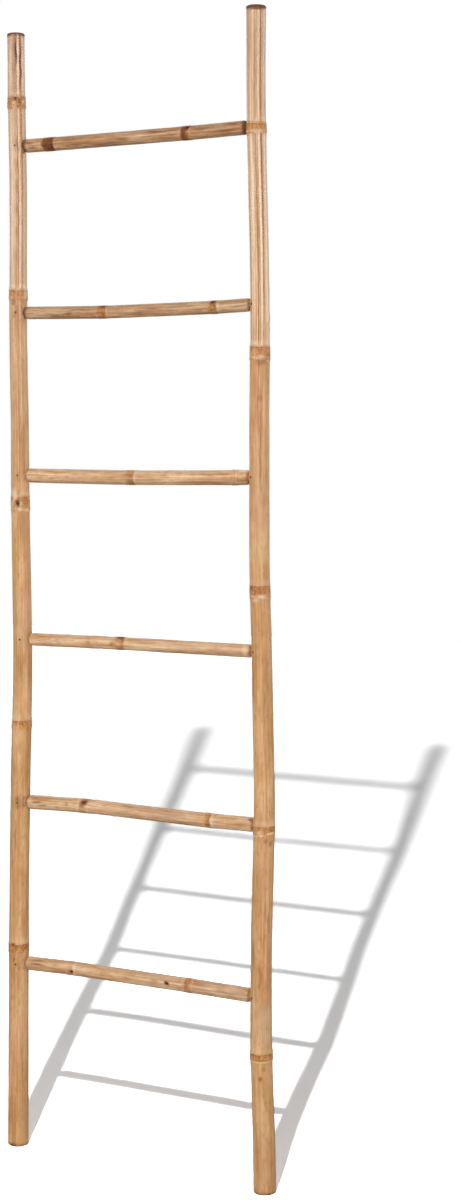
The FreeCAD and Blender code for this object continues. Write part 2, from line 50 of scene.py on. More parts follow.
# The poles. In these lists each row is one place along the pole:
# bends: height, place of the axis along X.
# girth: height, radius.
# gloss: height, how strongly the varnish shines.
# age: height, how dark and brown the skin is.
# nodes: height of the sheath's scar, length of the band below it in millimetres, how strong the scar,
# the band, the pale bloom above and the light ridge below are, and the ridge's slant in millimetres.
# marks: height, place across the side that faces the viewer (-1 its left edge, 1 its right edge),
# reach along and around the culm in millimetres, darkness, depth of the dent in millimetres.
# A mark with a darkness below 0 is pale, and wipes out the band and the scar under it.
# The other entries:
# top_stain: reach of the dark stain at the top in millimetres, on the viewer's side and at the edges.
# foot_dark_band: reach of the dark band at the foot.
# facing: the turn about Z of the side that faces the viewer.
# seed: a number that gives the pole its own unevenness.
POLE_WALL = 6 * MM
POLES = {
    "left_pole": {
        "bends": (
            (0.0000, -0.2336), (0.3380, -0.2324), (0.4780, -0.2311), (0.6572, -0.2283), (0.7160, -0.2262),
            (0.8196, -0.2242), (0.8896, -0.2249), (1.0968, -0.2294), (1.2228, -0.2301), (1.3768, -0.2337),
            (1.6092, -0.2334), (1.6624, -0.2339), (1.7841, -0.2370), (1.9050, -0.2385),
        ),
        "girth": (
            (0.00, 18.0 * MM), (0.20, 17.5 * MM), (0.45, 17.1 * MM), (0.60, 17.1 * MM), (0.90, 16.4 * MM),
            (1.20, 15.9 * MM), (1.50, 15.5 * MM), (1.905, 15.2 * MM),
        ),
        "gloss": (
            (0.0, 0.1), (1.05, 0.15), (1.15, 0.4), (1.43, 0.55), (1.47, 0.9), (1.62, 0.7), (1.905, 0.7),
        ),
        "age": (
            (0.0, 0.0), (1.0, 0.0), (1.3, 0.24), (1.5, 0.42), (1.75, 0.48), (1.82, 0.68), (1.905, 0.65),
        ),
        "nodes": (
            (0.3450, 14, 0.6, 1.10, 0.3, 0.2, 0.5),
            (0.7270, 11, 0.6, 0.90, 0.5, 0.1, 0.5),
            (1.1090, 20, 0.1, 0.65, 0.35, 0.6, 2.0),
            (1.4620, 12, 0.4, 0.95, 0.6, 0.1, 0.5),
            (1.7930, 14, 0.3, 0.80, 0.3, 0.4, 1.5),
        ),
        "marks": (
            # The first twelve marks, high on the pole, are partly painted reflection: the pale ones lie
            # where the soft boxes' reflections fall, and the dark ones lie in the gaps between them and
            # are partly the skin's own streaks.
            (1.8740, -0.02, 26, 2.4, 1.0, 0), (1.8500, 0.46, 48, 2.2, 1.3, 0),
            (1.6900, 0.48, 85, 1.8, 0.6, 0), (1.8450, -0.05, 50, 1.4, 0.6, 0),
            (1.8560, -0.42, 40, 1.4, 0.6, 0), (1.8500, 0.22, 45, 2.0, -0.8, 0),
            (1.6300, -0.60, 140, 8, -0.6, 0), (1.6300, 0.02, 130, 1.8, 0.75, 0),
            (1.8450, -0.70, 45, 5, -0.7, 0), (1.5500, 0.30, 80, 1.6, -0.9, 0),
            (1.5500, 0.45, 80, 1.4, 0.5, 0), (1.8500, 0.85, 45, 4, -0.9, 0),
            (1.7114, -0.20, 9, 7, 0.3, 0), (1.4255, -0.20, 9, 7, 0.35, 0), (1.1469, -0.20, 9, 7, 0.25, 0),
            (0.5878, -0.15, 10, 8, 0.35, 0), (0.3117, -0.15, 8, 7, 0.25, 0),
            # The marks at 0.80 across at the rungs' heights are painted shade where the rungs meet the
            # pole.
            (1.7114, 0.80, 11, 4, 0.8, 0), (1.4255, 0.80, 10, 4, 0.7, 0), (0.3117, 0.80, 10, 4, 0.4, 0),
            (0.5878, 0.80, 10, 4, 0.4, 0), (1.7914, -0.10, 3.6, 3.2, 1.15, 0.5),
            (1.7860, -0.75, 4, 3, 0.5, 0), (1.7790, 0.10, 2.5, 3, 0.6, 0), (1.7860, 0.30, 3.5, 3, 0.7, 0),
            (1.7840, -0.35, 3, 3, -0.8, 0), (1.7870, 0.70, 4, 3.5, -0.9, 0),
            (1.4560, 0.72, 9, 5, -1.0, 0), (1.4500, -0.75, 4, 3, -0.7, 0), (1.4420, -0.45, 5, 4, 0.35, 0),
            (1.5118, -0.40, 30, 1.5, 0.25, 0), (1.4466, -0.60, 3, 2.5, 0.5, 0),
            (1.4260, -0.30, 2.5, 2, 0.5, 0), (1.2717, -0.10, 110, 1.4, 0.35, 0),
            (1.2750, 0.20, 120, 1.4, 0.35, 0), (1.1890, 0.30, 45, 4, 0.35, 0),
            (1.1150, -0.55, 9, 5, -1.0, 0), (1.1180, -0.25, 5, 2, 0.4, 0), (1.0900, -0.15, 5, 4, -1.1, 0),
            (1.1015, -0.38, 4.4, 4.6, 1.15, 1.2), (1.1060, -0.66, 4, 2.2, -1.0, 0),
            (1.1000, -0.06, 4, 2.2, -0.9, 0), (0.9000, 0.0, 45, 14, -0.35, 0),
            (1.0960, -0.28, 4.0, 3.0, 1.0, 0), (1.1060, 0.40, 6, 5, 0.45, -0.4),
            (1.0880, 0.65, 3, 4, -0.9, 0), (1.0980, -0.85, 6, 3, -0.9, 0),
            (1.0990, 0.10, 4, 3, -0.8, 0.3), (1.0572, 0.15, 25, 4, 0.3, 0), (0.8205, 0.00, 38, 4, 0.3, 0),
            (0.6950, -0.40, 10, 2.5, -0.5, 0), (0.6833, -0.10, 9, 2.5, 0.35, 0),
            (0.5890, 0.40, 8, 5, 0.3, 0), (0.5289, -0.45, 22, 1.5, 0.7, 0),
            (0.3450, -0.50, 2.8, 2.6, 1.2, 0.6), (0.3320, -0.80, 3, 2, 0.6, 0),
            (0.3214, -0.45, 2.5, 2, 0.6, 0), (0.1482, 0.35, 28, 2, 0.45, 0),
            (0.0010, -0.45, 5, 6, 1.2, 0), (1.7230, 0.62, 2.4, 2.0, 0.55, 0),
            (1.7000, 0.55, 2.4, 2.0, 0.5, 0), (1.7040, 0.15, 2, 1.6, 0.4, 0),
            (1.7190, 0.25, 2, 1.6, 0.4, 0), (1.4400, -0.55, 2.2, 1.8, 0.5, 0),
            (1.4360, -0.10, 2, 1.8, 0.5, 0), (1.4330, 0.35, 2.2, 2.0, 0.45, 0),
            (1.4180, -0.45, 2, 1.8, 0.5, 0), (1.4120, 0.25, 2.2, 2, 0.5, 0),
            (1.4100, 0.62, 2, 2, 0.55, 0), (1.1400, 0.45, 2.2, 1.8, 0.45, 0),
            (1.1530, 0.40, 2, 1.6, 0.4, 0), (1.1380, -0.20, 2, 1.6, 0.4, 0),
            (0.5950, -0.25, 3, 2.4, 0.6, 0), (0.5800, -0.30, 2.4, 2, 0.5, 0),
            (0.5960, 0.35, 2.2, 2.0, 0.5, 0), (0.5830, 0.40, 2.4, 2, 0.5, 0),
            (0.6010, 0.05, 2, 1.8, 0.4, 0), (0.3180, -0.55, 2.2, 1.8, 0.5, 0),
            (0.3050, 0.10, 2.2, 1.8, 0.5, 0), (0.3040, 0.55, 2.4, 2, 0.5, 0),
            (0.3190, 0.45, 2, 1.8, 0.45, 0),
        ),
        "top_stain": (4.5, 7.0),
        "foot_dark_band": 2.8 * MM,
        "facing": math.radians(303),
        "seed": 1.0,
    },
    "right_pole": {
        "bends": (
            (0.0000, 0.2363), (0.0806, 0.2352), (0.2170, 0.2300), (0.2945, 0.2296), (0.4080, 0.2305),
            (0.6180, 0.2360), (0.8840, 0.2306), (0.9624, 0.2278), (1.0100, 0.2266), (1.2620, 0.2266),
            (1.3432, 0.2276), (1.4104, 0.2280), (1.5140, 0.2264), (1.7044, 0.2215), (1.7880, 0.2204),
            (1.9050, 0.2210),
        ),
        "girth": (
            (0.00, 18.3 * MM), (0.15, 18.0 * MM), (0.30, 17.3 * MM), (0.50, 17.3 * MM), (0.80, 16.7 * MM),
            (1.00, 16.4 * MM), (1.20, 16.3 * MM), (1.50, 15.7 * MM), (1.85, 15.7 * MM), (1.905, 16.3 * MM),
        ),
        "gloss": ((0.0, 0.1), (1.335, 0.15), (1.355, 1.0), (1.70, 1.0), (1.72, 0.8), (1.905, 0.8)),
        "age": (
            (0.0, 0.2), (0.14, 0.06), (0.2, 0.0), (1.3, 0.0), (1.36, 0.12), (1.6, 0.2), (1.75, 0.36),
            (1.905, 0.55),
        ),
        "nodes": (
            (0.2235, 10, 0.7, 1.00, 0.2, 0.8, 0.5),
            (0.5870, 11, 0.2, 0.80, 0.4, 1.1, -3.0),
            (0.9712, 16, 1.0, 0.95, 0.5, 0.7, 1.5),
            (1.3547, 17, 0.5, 0.75, 0.5, 0.9, 2.5),
            (1.7140, 11, 0.4, 0.85, 0.4, 1.1, 1.5),
        ),
        "marks": (
            # The first four marks are dark streaks high on the pole, partly the skin's own and partly
            # painted reflection: they lie in the gaps between the soft boxes' reflections.
            (1.5244, 0.47, 160, 2.0, 0.55, 0), (1.5244, -0.08, 170, 1.6, 0.65, 0),
            (1.8100, 0.45, 80, 2.0, 0.5, 0), (1.8100, -0.08, 80, 1.6, 0.6, 0),
            (1.4440, 0.95, 10, 3, 0.4, -0.5), (1.4022, 0.93, 8, 4, 0.6, -1.0),
            (1.3314, 0.05, 6, 9, 0.5, 0), (1.2735, 0.00, 5, 4, 0.35, 0), (1.2783, -0.15, 55, 1.5, 0.5, 0),
            (1.2542, 0.20, 45, 1.5, 0.4, 0), (1.7005, -0.15, 2.5, 5, -1.2, 0),
            (1.7030, 0.45, 2.2, 4, -1.0, 0), (1.6900, -0.35, 10, 2, 0.4, 0),
            (1.3480, -0.60, 5, 6, -0.6, 0), (1.3440, 0.80, 5, 4, 0.4, 0), (1.3400, 0.15, 3, 8, -0.8, 0),
            (0.9560, 0.25, 3.2, 8, -1.1, 0), (0.9500, -0.35, 3, 6, -0.8, 0),
            (0.9640, -0.30, 6, 9, 0.4, 0), (0.5840, 0.70, 5, 6, 0.4, 0), (0.5790, -0.50, 4, 5, -0.7, 0),
            (1.1738, 0.10, 52, 1.6, 0.75, 0), (0.9695, -0.85, 3, 3, 1.0, 0.4),
            (0.8038, 0.35, 75, 3.5, 0.35, 0), (0.7717, -0.20, 18, 3, 0.25, 0),
            (0.7717, 0.10, 30, 1.4, 0.4, 0), (0.5610, 0.60, 4, 3, 0.8, 0), (0.5658, 0.20, 3, 4, 0.4, 0),
            (0.5055, -0.50, 25, 2, 0.35, 0), (0.4499, 0.30, 16, 1.5, 0.55, 0),
            (0.4338, 0.60, 14, 1.8, 0.6, 0), (0.3855, -0.75, 18, 3, 0.7, 0),
            (0.3485, -0.10, 20, 3, 0.4, 0), (1.1100, 0.0, 110, 14, -0.3, 0),
            (0.2680, 0.0, 36, 14, -0.45, 0), (0.8750, -0.50, 5, 4, 0.25, 0),
            (0.8600, -0.45, 4, 3.5, 0.25, 0), (0.8540, 0.05, 6, 3, 0.2, 0),
            (0.2145, 0.10, 1.2, 14, 0.8, 0.2), (0.2000, 0.15, 2.4, 2, 0.6, 0),
            (0.1850, -0.10, 3.4, 2.8, 0.9, 0.3),
        ),
        "top_stain": (8.5, 3.5),
        "foot_dark_band": 3.6 * MM,
        "facing": math.radians(296),
        "seed": 5.0,
    },
}

# The rungs, from the top down. Height is that of both ends, and age is how dark and brown the rung is.
# nodes: middle of the band along X, rise of the axis there in millimetres, length of the band in
# millimetres, the side of the scar (1 right, -1 left), how strong the scar, the band and the bloom are.
# ends: reach in millimetres and darkness of the dark end at the left, then at the right, partly a stain
# and partly painted shade where the rung meets the pole.
# marks: as on the poles, with X for the height, and across from -1 at the lower edge to 1 at the upper.
RUNGS = {
    "rung_1": {
        "height": 1.7114,
        "radius": 11.73 * MM,
        "age": 0.48,
        "nodes": ((-0.1675, -0.8, 20, 1, 1.3, 2.5, 0.0), (0.0960, -1.4, 13, -1, 1.3, 1.9, 0.2)),
        "ends": ((6, 1.0), (4, 1.0)),
        "marks": (
            # The first two marks are painted shade: dark lines the whole length of the rung along its
            # upper and lower edges.
            (0.0, 0.85, 215, 3, 0.45, 0), (0.0, -0.85, 215, 3, 0.35, 0), (-0.1760, -0.3, 3, 9, 0.7, 0),
            (-0.1590, -0.4, 3, 9, 0.7, 0), (0.1000, 0.75, 4, 5, 1.3, 0), (-0.1670, 0.0, 10, 14, 0.75, 0),
            (-0.1200, 0.5, 22, 2, 0.7, 0), (-0.0600, -0.5, 30, 2, 0.6, 0), (0.0300, 0.6, 26, 1.8, 0.7, 0),
            (0.1300, 0.4, 20, 2.2, 0.7, 0), (0.1700, -0.1, 18, 2, 0.7, 0), (0.1800, 0.6, 16, 2.4, 0.7, 0),
            (-0.2050, 0.3, 9, 2.5, 0.8, 0), (-0.2000, -0.4, 9, 2.5, 0.7, 0), (0.0920, -0.3, 6, 4, 0.8, 0),
            (-0.1000, -0.35, 30, 1.6, 0.4, 0), (0.0600, 0.55, 25, 1.6, 0.5, 0),
            (0.0500, -0.45, 40, 1.6, 0.45, 0), (0.0050, 0.10, 18, 2.4, -0.8, 0),
            (-0.0330, 0.1, 26, 2.2, 0.5, 0), (0.0700, 0.0, 14, 1.6, 0.6, 0),
            (-0.0200, -0.2, 9, 2.4, 0.5, 0), (0.1500, -0.3, 20, 2, 0.4, 0),
            (-0.0700, 0.4, 20, 1.8, 0.4, 0),
        ),
    },
    "rung_2": {
        "height": 1.4255,
        "radius": 10.93 * MM,
        "age": 0.52,
        "nodes": ((-0.0640, -4.0, 16, 1, 0.4, 1.0, 0.2), (0.1465, -2.7, 12, 1, 0.6, 1.35, 0.8)),
        "ends": ((5, 0.9), (1.5, 0.5)),
        "marks": (
            # The first two marks are painted shade: dark lines the whole length of the rung along its
            # upper and lower edges.
            (0.0, 0.88, 215, 2.6, 0.35, 0), (0.0, -0.85, 215, 3, 0.3, 0), (-0.0620, 0.8, 7, 4, 0.8, 0),
            (0.1470, 0.8, 5, 4, 1.3, 0), (0.1430, -0.4, 5, 4, 0.6, 0), (-0.1500, -0.3, 30, 1.6, 0.6, 0),
            (-0.1250, -0.1, 6, 2, 0.7, 0), (0.0300, 0.0, 26, 1.5, 0.55, 0),
            (-0.1050, 0.4, 24, 1.8, 0.5, 0), (0.0000, -0.4, 26, 1.8, 0.5, 0),
            (0.0900, 0.4, 24, 1.8, 0.5, 0), (0.0700, -0.1, 10, 2, 0.4, 0),
            (0.1950, -0.05, 16, 1.5, 0.5, 0), (0.1200, -0.3, 6, 2, 0.5, 0),
        ),
    },
    "rung_3": {
        "height": 1.1469,
        "radius": 12.31 * MM,
        "age": 0.0,
        "nodes": ((-0.0095, -2.5, 16, 1, 0.85, 0.85, 0.9), (0.1840, -0.9, 8, 1, 0.3, 0.15, 0.2)),
        "ends": ((1, 0.2), (1.5, 0.3)),
        "marks": (
            (-0.1295, -0.1, 4, 2, 0.5, 0), (-0.0080, 0.3, 5, 7, 0.4, 0), (-0.0060, -0.8, 10, 4, 0.6, 0),
            (0.1450, 0.2, 12, 1.8, 0.3, 0), (0.1930, 0.0, 0.8, 16, 0.35, 0),
            (0.2050, -0.4, 16, 2, 0.6, 0), (0.0600, 0.0, 10, 1.5, 0.25, 0),
            (0.0500, 0.0, 150, 12, -0.25, 0),
        ),
    },
    "rung_4": {
        "height": 0.8666,
        "radius": 10.93 * MM,
        "age": 0.0,
        "nodes": ((-0.0300, 1.3, 19, 1, 0.3, 0.65, 0.4),),
        "ends": ((1, 0.2), (1.5, 0.5)),
        "marks": (
            (-0.0280, 0.8, 8, 3.5, 1.3, 0), (-0.0420, -0.1, 4, 4, 0.7, 0), (-0.0300, -0.8, 10, 4, 0.6, 0),
            (-0.0220, 0.1, 3, 6, 0.5, 0), (0.0700, -0.75, 60, 2, 0.45, 0), (0.0300, 0.3, 20, 1.4, 0.4, 0),
            (-0.0880, -0.15, 4, 1.8, 0.5, 0), (0.1480, -0.1, 14, 1.8, 0.35, 0),
            (0.2050, 0.1, 4, 14, -0.8, 0), (-0.1600, -0.2, 26, 1.4, 0.35, 0),
            (0.1050, 0.0, 105, 12, -0.45, 0),
        ),
    },
    "rung_5": {
        "height": 0.5878,
        "radius": 12.08 * MM,
        "age": 0.1,
        "nodes": ((-0.0970, 3.2, 15, -1, 0.3, 0.55, 0.2), (0.1370, -0.9, 10, 1, 0.4, 0.9, 0.6)),
        "ends": ((2, 0.3), (1.5, 0.3)),
        "marks": (
            (-0.0960, 0.65, 6.5, 5.5, 1.2, 0.6), (-0.0990, -0.1, 5, 4, 0.4, 0),
            (-0.1900, 0.0, 10, 1.8, 1.1, 0), (-0.1780, -0.4, 9, 1.5, 0.8, 0),
            (-0.1930, 0.5, 9, 1.5, 0.7, 0), (-0.1295, 0.0, 3.5, 2, 0.6, 0), (0.2010, 0.0, 10, 3, 0.4, 0),
            (0.2140, 0.6, 3, 2.4, 1.1, 0.3), (0.0300, 0.3, 30, 1.5, 0.35, 0),
            (0.1390, -0.5, 5, 4, 0.5, 0), (0.0700, 0.1, 18, 1.5, 0.35, 0),
            (0.0500, 0.0, 50, 12, -0.45, 0),
        ),
    },
    "rung_6": {
        "height": 0.3117,
        "radius": 11.73 * MM,
        "age": 0.15,
        "nodes": ((-0.1240, 2.2, 10, 1, 0.2, 0.25, 0.7), (0.1010, 1.8, 12, -1, 0.2, 0.65, 0.4)),
        "ends": ((2, 0.4), (1.5, 0.3)),
        "marks": (
            (-0.1196, -0.40, 3.4, 3.0, 1.6, 0.8), (0.0627, -0.10, 4.4, 2.8, 1.9, 0.6),
            (-0.1880, -0.1, 16, 1.7, 1.1, 0), (-0.1900, 0.45, 13, 1.5, 0.9, 0),
            (0.1900, 0.0, 26, 3, 0.4, 0), (-0.0580, 0.0, 8, 3, 0.4, 0), (0.0390, 0.0, 7, 2, 0.6, 0),
            (0.1620, -0.1, 10, 2, 0.5, 0), (-0.1500, 0.1, 12, 1.6, 0.4, 0), (0.1000, -0.1, 4, 5, 0.4, 0),
            (0.0500, 0.0, 36, 12, -0.35, 0), (0.1650, 0.0, 50, 12, -0.45, 0),
        ),
    },
}
TENON_RADIUS = 8 * MM
TENON_REACH = 5 * MM
NECK_GAP = 1.6 * MM
SHOULDER_LENGTH = 5 * MM
# The rounded shoulder beside a tenon: share of its length, and of its step in radius.
SHOULDER_SHARES = ((0.0, 0.0), (0.2, 0.6), (0.5, 0.88), (1.0, 1.0))
POLE_CHAMFER = 1.2 * MM

# The edge of each outline that runs along the outer face, counted from 0.
POLE_SKIN_EDGE = 4
RUNG_SKIN_EDGE = 5
# How finely the culms are divided: steps round them, and rings along them and at a node.
POLE_STEPS = 80
RUNG_STEPS = 64
RING = 3 * MM
NODE_REACH = 18 * MM
NODE_CUTS = 3
# The outer face lies past this share of the radius, before a culm is bent.
OUTER_SHARE = 0.999
WELD = 0.01 * MM
SHARP = math.radians(40)

# Unevenness of the culms: depth and length of its waves, and how far the poles are from round.
POLE_RIPPLE, POLE_WAVE = 0.18 * MM, 0.16
RUNG_RIPPLE, RUNG_WAVE = 0.12 * MM, 0.11
POLE_OVAL = 0.01
# How far along a culm the corners of its axis and its girth are rounded, and in how many steps.
BEND_EASE = 0.03
GIRTH_EASE = 0.05
EASE_STEPS = 7

# Forms round a node: height, and reach along the culm.
SWELLING = (0.75 * MM, 11 * MM)
SCAR_LIP = (0.45 * MM, 1.6 * MM)
SCAR_GROOVE = (-0.5 * MM, 0.9 * MM)
BAND_RIDGE = (0.6 * MM, 2.2 * MM)
BAND_LUMPS = 0.22 * MM
# The lip lies before the scar, and the groove past it.
LIP_PLACE = -1.2 * MM
GROOVE_PLACE = 0.6 * MM
# How far the ring of a scar tilts and wavers along the culm.
SCAR_TILT = 0.7 * MM
SCAR_WAVER = 0.3 * MM
# The nodes of the rungs are smaller than those of the poles, and their ridges are all alike.
RUNG_NODE_SCALE = 0.62
RUNG_RIDGE = 0.3

# Paint at a node: the scar's width, how soft the band's two ends are and how far its colour fades,
# then the place and width of the bloom before the scar and of the ridge past the band.
SCAR_WIDTH = 0.9 * MM
BAND_START = 0.5 * MM
BAND_END = 1.8 * MM
BAND_FADE = 3.2 * MM
BLOOM_PLACE, BLOOM_WIDTH = 6 * MM, 5 * MM
RIDGE_PLACE, RIDGE_WIDTH = 1.2 * MM, 1.5 * MM
# The varnish is dull from before the scar to past the band, and where a mark is dark.
DULL_BEFORE, DULL_PAST, DULL_EDGE = 5 * MM, 4 * MM, 0.8 * MM
DULL_MARK = 1.4

# Marks and fibres of the poles are laid out on these radii. Marks sway by a share of their breadth.
MARK_GIRTH = 16.5 * MM
FIBRE_GIRTH = 17 * MM
MARK_SWAY, MARK_WAVE = 0.35, 160
# Shares of the radius where the skin starts, and the share of a tenon's step that is cut.
POLE_SKIN_SHARE = 0.97
RUNG_SKIN_SHARE = 0.9
TENON_CUT = 0.3
RUNG_GLOSS = 0.3
# The dark ends of the culms, partly stains and partly painted shade where the rungs meet the poles:
# softness of their edges, unevenness in millimetres, and the foot's darkness.
POLE_STAIN_EDGE = 0.6 * MM
RUNG_STAIN_AND_SHADE_EDGE = 0.8 * MM
TOP_UNEVEN = 0.8
FOOT_UNEVEN = 1.0
FOOT_DARKNESS = 0.85
# Age varies along a culm: how much, and the length of its waves.
POLE_AGE_RIPPLE, POLE_AGE_WAVE = 0.1, 0.7
RUNG_AGE_RIPPLE, RUNG_AGE_WAVE = 0.12, 0.2

# The camera stands to the right of the ladder. The distance is that to the rungs.
CAMERA_PLACE = (1.5616, -2.7490, 1.1979)
CAMERA_DISTANCE = 3.1
CAMERA_TURN = math.radians(26.773)
CAMERA_LENS = 57.0
CAMERA_SENSOR = 36
CAMERA_SHIFT = -0.1287


def srgb(red, green, blue):
    """A colour as a screen shows it, from 0 to 255, as the renderer's linear colour."""
    shares = [value / 255 for value in (red, green, blue)]
    return (*[s / 12.92 if s <= 0.04045 else ((s + 0.055) / 1.055) ** 2.4 for s in shares], 1.0)


# Culm shapes. Bare numbers inside the waves only keep one wave from looking like another.


def on_line(points, along):
    """Values on the line through points."""
    return np.interp(along, [p[0] for p in points], [p[1] for p in points])


def eased(points, along, reach):
    """Values on the line through points, with its corners rounded over a reach."""
    offsets = np.linspace(-reach, reach, EASE_STEPS)
    return np.mean([on_line(points, along + offset) for offset in offsets], axis=0)


def ripple(along, turn, seed, wave):
    """Slow unevenness from -1 to 1 over a culm, with about one wave in that length."""
    waves = (
        np.sin(2 * np.pi * along / wave + seed * 7.1 + np.cos(turn + seed)),
        np.sin(2 * np.pi * along / (wave * 0.61) + seed * 3.7 + np.sin(turn - 2 * seed)),
        np.sin(2 * np.pi * along / (wave * 1.7) + seed * 5.3 + np.cos(2 * turn)),
    )
    return sum(waves) / 3


def round_ripple(turn, seed, place=0.0, rate=3):
    """Unevenness from -1 to 1 that changes only round a culm."""
    return ripple(np.full(len(turn), place), turn * rate, seed, 1.0)


def bell(distance, reach):
    """1 at no distance, and near 0 past twice the reach."""
    return np.exp(-((distance / reach) ** 2))


def step_up(distance, soft):
    """0 well below a distance of 0 and 1 well above it."""
    return 1 / (1 + np.exp(np.clip(-distance / soft, -60, 60)))


def band_depth(along, turn, scar, side, seed):
    """Distance from a node's scar into its band. The ring is never quite square to the culm."""
    tilt = SCAR_TILT * np.cos(turn - seed * 4 - scar * 30)
    waver = SCAR_WAVER * np.sin(5 * turn + scar * 50)
    return (scar - along) * side + tilt + waver


def node_swell(depth, length, scale):
    """Added radius at a node: a soft swelling, the sheath's scar, and a ridge past the band."""
    swell = np.zeros(len(depth))
    for place, (height, reach) in (
        (length / 2, SWELLING),
        (length, BAND_RIDGE),
        (LIP_PLACE * scale, SCAR_LIP),
        (GROOVE_PLACE * scale, SCAR_GROOVE),
    ):
        swell += scale * height * bell(depth - place, reach * scale)
    return swell


def mark_cover(along, turn, mark, facing, radius):
    """How strongly a mark covers each point, from 0 to 1, and the same with a rounder form for a dent."""
    place, across, reach, breadth = mark[:4]
    swing = turn - facing(across)
    swing = (swing + np.pi) % (2 * np.pi) - np.pi
    sway = MARK_SWAY * breadth * MM * np.sin(along * MARK_WAVE + place * 900)
    across_share = bell(radius * swing + sway, breadth * MM)
    gap = (along - place) / (reach * MM)
    return across_share * np.exp(-np.abs(gap) ** 3), across_share * np.exp(-(gap**2))


def spun_culm(name, outline, skin, nodes, steps):
    """The mesh of a straight culm about Z: an outline of (radius share, height) turned right round.
    skin is the index of the outline's edge along the outer face, which is divided into rings."""
    bm = bmesh.new()
    points = [bm.verts.new((radius, 0, height)) for radius, height in outline]
    edges = [bm.edges.new(pair) for pair in zip(points, points[1:])]
    length = edges[skin].calc_length()
    bmesh.ops.subdivide_edges(bm, edges=[edges[skin]], cuts=round(length / RING))
    near = []
    for edge in bm.edges:
        middle = (edge.verts[0].co + edge.verts[1].co) / 2
        if middle.x > OUTER_SHARE and any(abs(middle.z - place) < NODE_REACH for place in nodes):
            near.append(edge)
    bmesh.ops.subdivide_edges(bm, edges=near, cuts=NODE_CUTS)
    bmesh.ops.spin(
        bm,
        geom=bm.verts[:] + bm.edges[:],
        cent=(0, 0, 0),
        axis=(0, 0, 1),
        angle=2 * math.pi,
        steps=steps,
        use_merge=True,
    )
    bmesh.ops.remove_doubles(bm, verts=bm.verts[:], dist=WELD)
    bmesh.ops.recalc_face_normals(bm, faces=bm.faces[:])
    for face in bm.faces:
        face.smooth = True
    for edge in bm.edges:
        edge.smooth = edge.calc_face_angle(0) < SHARP
    mesh = bpy.data.meshes.new(name)
    bm.to_mesh(mesh)
    bm.free()
    return mesh


def read_points(mesh):
    """The points of a straight culm, with their shares of its radius and their turns about it."""
    points = np.empty(len(mesh.vertices) * 3)
    mesh.vertices.foreach_get("co", points)
    points = points.reshape(-1, 3)
    share = np.hypot(points[:, 0], points[:, 1])
    turn = np.arctan2(points[:, 1], points[:, 0])
    return points, share, turn


def paint(mesh, name, values):
    """Keeps one value for each point of a mesh, for its material."""
    kind, field = ("FLOAT", "value") if values.ndim == 1 else ("FLOAT_VECTOR", "vector")
    attribute = mesh.attributes.new(name, kind, "POINT")
    attribute.data.foreach_set(field, values.astype(np.float32).ravel())


def finish_culm(mesh, name, material):
    """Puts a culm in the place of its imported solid."""
    mesh.materials.append(material)
    piece = bpy.data.objects.new(f"{name}_culm", mesh)
    bpy.context.collection.objects.link(piece)
    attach(piece, "root")
    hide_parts(name)


class Skin:
    """The painted layers of one culm: bloom, scar, band and ridge of the nodes, and dark and pale marks,
    among them painted shade and painted reflection.
    """

    def __init__(self, along, turn, seed):
        self.along = along
        self.turn = turn
        self.seed = seed
        self.swell = np.zeros(len(along))
        self.shine = np.ones(len(along))
        self.layers = {name: np.zeros(len(along)) for name in ("bloom_and_sheen", "scar", "band", "ridge", "mark")}

    def add_node(self, scar, side, length, strengths, scale=1.0, slant=0.0):
        """Paints a node, from its scar into the band on one side of it, and swells the culm there."""
        line, band, bloom_and_sheen, ridge = strengths
        depth = band_depth(self.along, self.turn, scar, side, self.seed)
        patchy = np.clip(0.8 + 0.7 * round_ripple(self.turn, self.seed + scar, scar, 2), 0.2, 1.3)
        uneven = 1 + 0.3 * np.sin(3 * self.turn + scar * 40) + 0.15 * np.sin(7 * self.turn + scar * 90)
        started = step_up(depth, BAND_START)
        inside = started * step_up(length * uneven - depth, BAND_END)
        faded = started * step_up(length * (1 + uneven) / 2 - depth, BAND_FADE * scale)
        faded *= np.clip(1.2 - 0.45 * depth / length, 0.3, 1.2)
        crest = depth - length - RIDGE_PLACE - slant
        self.layers["scar"] += line * patchy * bell(depth, SCAR_WIDTH)
        self.layers["band"] += band * faded * (0.5 + 0.5 * patchy)
        self.layers["bloom_and_sheen"] += bloom_and_sheen * bell(depth + BLOOM_PLACE * scale, BLOOM_WIDTH * scale) * patchy
        self.layers["ridge"] += ridge * bell(crest, RIDGE_WIDTH) * patchy
        lumps = np.sin(9 * self.turn + scar * 70 + 1.5 * np.sin(self.along * 700))
        lumps *= np.sin(self.along * 520 + 3 * np.sin(2 * self.turn + scar * 30))
        self.swell += node_swell(depth, length, scale) + BAND_LUMPS * scale * inside * lumps
        dull = step_up(depth + DULL_BEFORE, DULL_EDGE) * step_up(length + DULL_PAST - depth, DULL_EDGE)
        self.shine *= 1 - dull

    def add_marks(self, marks, facing, radius):
        """Paints marks, and dents the culm under them. facing gives the turn of a place across."""
        for mark in marks:
            tone, dent = mark[4:]
            cover, hollow = mark_cover(self.along, self.turn, mark, facing, radius)
            if tone > 0:
                self.layers["mark"] += tone * cover
            else:
                # A pale mark is laid on like the nodes' bloom; high on the poles some of them are painted
                # reflection.
                self.layers["bloom_and_sheen"] -= tone * cover
                for covered in ("band", "scar"):
                    self.layers[covered] *= np.clip(1 + tone * cover, 0, 1)
            self.swell -= dent * MM * hollow

    def paint(self, mesh, girth):
        """Keeps the layers, and the places of the fibres on a straight culm of that girth."""
        across, deep = girth * np.cos(self.turn), girth * np.sin(self.turn)
        paint(mesh, "fibre", np.stack((across, deep, self.along + self.seed), axis=1))
        for name, values in self.layers.items():
            paint(mesh, name, values)


